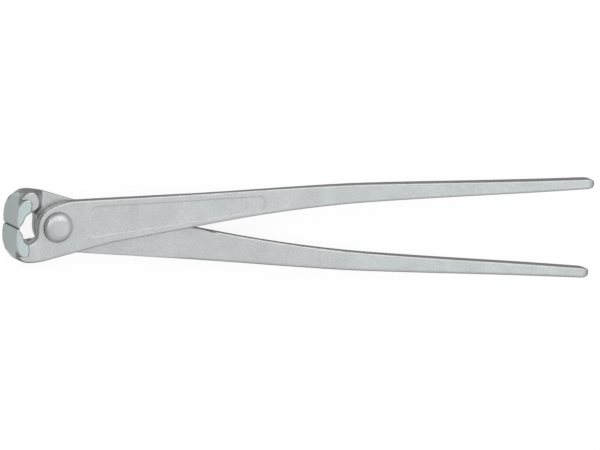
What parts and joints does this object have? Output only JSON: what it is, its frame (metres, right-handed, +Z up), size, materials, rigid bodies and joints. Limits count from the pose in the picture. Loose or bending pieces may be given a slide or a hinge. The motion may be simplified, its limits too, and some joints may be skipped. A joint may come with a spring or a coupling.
{
  "type": "front cutting pliers",
  "caption": "Long-handled front cutting pliers: two forged levers crossing in a riveted lap joint, with a pair of rounded cutting jaws at the front.",
  "frame": {"origin": "middle of the lower flat of the joint rivet, on the pivot axis", "axes": "+X from the jaws to the handle ends, +Y across the jaws towards the side of the front lever's handle, +Z up along the rivet, from the rear lever to the front lever"},
  "size_m": [0.3, 0.0486, 0.0206],
  "materials": {
    "lever_steel": "satin bright zinc plating over a fine-blasted forging, smoother on the ground jaw fronts and pads",
    "rivet_steel": "bright zinc plating over a smooth formed rivet head"
  },
  "bodies": {
    "front_half": {"front_lever": "lever_steel", "joint_rivet": "rivet_steel"},
    "rear_half": {"rear_lever": "lever_steel"}
  },
  "joints": [
    {"name": "pivot", "type": "hinge", "parent": "front_half", "child": "rear_half", "pos_m": [0, 0, 0.0092], "axis": [0, 0, -1], "range_deg": [0, 40]}
  ]
}
